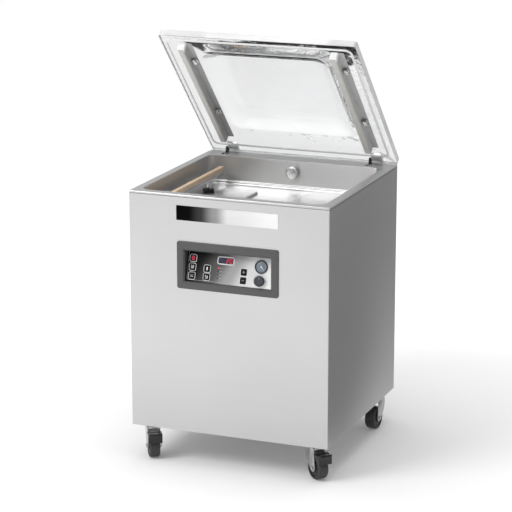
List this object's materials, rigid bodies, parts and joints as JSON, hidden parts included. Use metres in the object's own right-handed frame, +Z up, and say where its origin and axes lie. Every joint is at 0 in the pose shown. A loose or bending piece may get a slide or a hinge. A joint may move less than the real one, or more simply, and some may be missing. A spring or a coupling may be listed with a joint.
{
  "type": "vacuum packing machine",
  "caption": "Floor-standing chamber vacuum packer: steel cabinet on swivel casters, tilted control panel, seal bars in a deep chamber and a hinged clear lid.",
  "frame": {"origin": "middle of the footprint box on the floor, at the underside of the wheels", "axes": "+Z up, the control panel faces -Y, +X to the right as seen from the front"},
  "size_m": [0.712, 0.772, 1.4242],
  "materials": {
    "brushed_stainless": "satin brushed, fine vertical grain",
    "galvanised_sheet": "dull zinc-coated sheet",
    "name_plate": "printed black fading to white, satin",
    "bezel_plastic": "finely textured dark grey moulding",
    "fascia_foil": "satin foil printed black fading to silver",
    "key_cap": "black key with a pale rounded outline",
    "display_window": "dark blue window with red figures",
    "gauge_dial": "grey blue dial in a black ring",
    "gauge_needle": "white paint",
    "knob_plastic": "dark blue grey, knurled",
    "circuit_board": "green solder mask",
    "clear_acrylic": "polished clear acrylic",
    "gasket_foam": "white silicone profile",
    "counter_bar_plastic": "grey satin bar",
    "counter_silicone": "matt light grey silicone",
    "hinge_black": "black enamel",
    "chrome": "bright",
    "zinc_steel": "bright zinc plate, slightly mottled",
    "gas_cylinder_paint": "black satin",
    "seal_tape": "tan PTFE-coated glass tape",
    "polished_steel": "polished steel",
    "guide_plastic": "black acetal",
    "machine_paint": "blue grey hammer paint",
    "hose_rubber": "ribbed black rubber",
    "valve_aluminium": "machined",
    "transformer_core": "varnished laminations",
    "inlet_plastic": "black moulding",
    "wheel_rubber": "dark grey tread on a black hub",
    "pedal_black": "glossy black moulding"
  },
  "bodies": {
    "root": {"housing_wrap": "brushed_stainless", "rear_cover": "brushed_stainless", "base_pan": "galvanised_sheet", "vacuum_chamber": "brushed_stainless", "chamber_port_cap": "brushed_stainless", "name_plate": "name_plate", "panel_bezel": "bezel_plastic", "panel_fascia": "fascia_foil", "display_module": "display_window", "vacuum_gauge": "gauge_dial", "control_board": "circuit_board", "hinge_frame": "zinc_steel", "gas_cylinder": "gas_cylinder_paint", "seal_guide_left": "guide_plastic", "seal_guide_right": "guide_plastic", "vacuum_pump": "machine_paint", "pump_motor": "machine_paint", "valve_block": "valve_aluminium", "vacuum_hose": "hose_rubber", "sealing_transformer": "transformer_core", "mains_inlet": "inlet_plastic", "caster_plate_front_left": "zinc_steel", "caster_plate_front_right": "zinc_steel", "caster_plate_rear_left": "zinc_steel", "caster_plate_rear_right": "zinc_steel"},
    "lid": {"lid_shell": "clear_acrylic", "lid_gasket": "gasket_foam", "hinge_shaft": "zinc_steel", "counter_bar_left": "counter_bar_plastic", "counter_silicone_left": "counter_silicone", "hinge_arm_left": "hinge_black", "lid_clamp_left": "chrome", "counter_bar_right": "counter_bar_plastic", "counter_silicone_right": "counter_silicone", "hinge_arm_right": "hinge_black", "lid_clamp_right": "chrome"},
    "gas_rod": {"gas_rod": "chrome"},
    "seal_left": {"seal_bar_left": "seal_tape", "seal_lift_left": "polished_steel"},
    "seal_right": {"seal_bar_right": "seal_tape", "seal_lift_right": "polished_steel"},
    "key_program": {"key_program": "key_cap"},
    "key_seal": {"key_seal": "key_cap"},
    "key_stop": {"key_stop": "key_cap"},
    "key_vacuum": {"key_vacuum": "key_cap"},
    "key_gas": {"key_gas": "key_cap"},
    "key_up": {"key_up": "key_cap"},
    "key_down": {"key_down": "key_cap"},
    "gauge_needle": {"gauge_needle": "gauge_needle"},
    "regulator_knob": {"regulator_knob": "knob_plastic"},
    "fork_front_left": {"caster_fork_front_left": "zinc_steel"},
    "wheel_front_left": {"caster_wheel_front_left": "wheel_rubber"},
    "pedal_front_left": {"brake_pedal_front_left": "pedal_black"},
    "fork_front_right": {"caster_fork_front_right": "zinc_steel"},
    "wheel_front_right": {"caster_wheel_front_right": "wheel_rubber"},
    "pedal_front_right": {"brake_pedal_front_right": "pedal_black"},
    "fork_rear_left": {"caster_fork_rear_left": "zinc_steel"},
    "wheel_rear_left": {"caster_wheel_rear_left": "wheel_rubber"},
    "fork_rear_right": {"caster_fork_rear_right": "zinc_steel"},
    "wheel_rear_right": {"caster_wheel_rear_right": "wheel_rubber"}
  },
  "joints": [
    {"name": "lid_hinge", "type": "hinge", "parent": "root", "child": "lid", "pos_m": [-0.00598, 0.3224, 0.89], "axis": [1, 0, 0], "range_deg": [0, 45.7], "stiffness_Nm_per_rad": 16, "springref_deg": -126.05},
    {"name": "gas_rod_slide", "type": "slide", "parent": "root", "child": "gas_rod", "axis": [0, 0, 1], "range_m": [-0.0255, 0.0005]},
    {"name": "seal_lift_left", "type": "slide", "parent": "root", "child": "seal_left", "axis": [0, 0, 1], "range_m": [0, 0.007], "stiffness_N_per_m": 2000, "springref_m": -0.01},
    {"name": "seal_lift_right", "type": "slide", "parent": "root", "child": "seal_right", "axis": [0, 0, 1], "range_m": [0, 0.021], "stiffness_N_per_m": 2000, "springref_m": -0.01},
    {"name": "key_program_press", "type": "slide", "parent": "root", "child": "key_program", "axis": [0, 0.9613, -0.2756], "range_m": [0, 0.0008], "stiffness_N_per_m": 400, "springref_m": -0.001},
    {"name": "key_seal_press", "type": "slide", "parent": "root", "child": "key_seal", "axis": [0, 0.9613, -0.2756], "range_m": [0, 0.0008], "stiffness_N_per_m": 400, "springref_m": -0.001},
    {"name": "key_stop_press", "type": "slide", "parent": "root", "child": "key_stop", "axis": [0, 0.9613, -0.2756], "range_m": [0, 0.0008], "stiffness_N_per_m": 400, "springref_m": -0.001},
    {"name": "key_vacuum_press", "type": "slide", "parent": "root", "child": "key_vacuum", "axis": [0, 0.9613, -0.2756], "range_m": [0, 0.0008], "stiffness_N_per_m": 400, "springref_m": -0.001},
    {"name": "key_gas_press", "type": "slide", "parent": "root", "child": "key_gas", "axis": [0, 0.9613, -0.2756], "range_m": [0, 0.0008], "stiffness_N_per_m": 400, "springref_m": -0.001},
    {"name": "key_up_press", "type": "slide", "parent": "root", "child": "key_up", "axis": [0, 0.9613, -0.2756], "range_m": [0, 0.0008], "stiffness_N_per_m": 400, "springref_m": -0.001},
    {"name": "key_down_press", "type": "slide", "parent": "root", "child": "key_down", "axis": [0, 0.9613, -0.2756], "range_m": [0, 0.0008], "stiffness_N_per_m": 400, "springref_m": -0.001},
    {"name": "gauge_needle_turn", "type": "hinge", "parent": "root", "child": "gauge_needle", "pos_m": [0.10403, -0.34016, 0.70598], "axis": [0, -0.9613, 0.2756], "range_deg": [0, 270], "stiffness_Nm_per_rad": 0.0002, "springref_deg": -17.19},
    {"name": "regulator_knob_turn", "type": "hinge", "parent": "root", "child": "regulator_knob", "pos_m": [0.10403, -0.35306, 0.66099], "axis": [0, -0.9613, 0.2756], "range_deg": [-135, 135]},
    {"name": "swivel_front_left", "type": "hinge", "parent": "root", "child": "fork_front_left", "pos_m": [-0.29997, -0.3156, 0.1], "axis": [0, 0, 1], "continuous": true},
    {"name": "wheel_roll_front_left", "type": "hinge", "parent": "fork_front_left", "child": "wheel_front_left", "pos_m": [-0.29256, -0.32747, 0.03981], "axis": [0.848, 0.5299, 0], "continuous": true},
    {"name": "brake_front_left", "type": "hinge", "parent": "fork_front_left", "child": "pedal_front_left", "pos_m": [-0.30315, -0.31051, 0.086], "axis": [0.848, 0.5299, 0], "range_deg": [0, 7]},
    {"name": "swivel_front_right", "type": "hinge", "parent": "root", "child": "fork_front_right", "pos_m": [0.28802, -0.3156, 0.1], "axis": [0, 0, 1], "continuous": true},
    {"name": "wheel_roll_front_right", "type": "hinge", "parent": "fork_front_right", "child": "wheel_front_right", "pos_m": [0.2989, -0.32441, 0.03981], "axis": [0.6293, 0.7771, 0], "continuous": true},
    {"name": "brake_front_right", "type": "hinge", "parent": "fork_front_right", "child": "pedal_front_right", "pos_m": [0.28336, -0.31182, 0.086], "axis": [0.6293, 0.7771, 0], "range_deg": [0, 7]},
    {"name": "swivel_rear_left", "type": "hinge", "parent": "root", "child": "fork_rear_left", "pos_m": [-0.32098, 0.23841, 0.1], "axis": [0, 0, 1], "continuous": true},
    {"name": "wheel_roll_rear_left", "type": "hinge", "parent": "fork_rear_left", "child": "wheel_rear_left", "pos_m": [-0.31806, 0.22471, 0.03981], "axis": [0.9781, 0.2079, 0], "continuous": true},
    {"name": "swivel_rear_right", "type": "hinge", "parent": "root", "child": "fork_rear_right", "pos_m": [0.30902, 0.23841, 0.1], "axis": [0, 0, 1], "continuous": true},
    {"name": "wheel_roll_rear_right", "type": "hinge", "parent": "fork_rear_right", "child": "wheel_rear_right", "pos_m": [0.30756, 0.22448, 0.03981], "axis": [0.9945, -0.1045, 0], "continuous": true}
  ],
  "couplings": [
    {"joint": "gas_rod_slide", "follows": "lid_hinge", "m_per_rad": -0.03116}
  ]
}
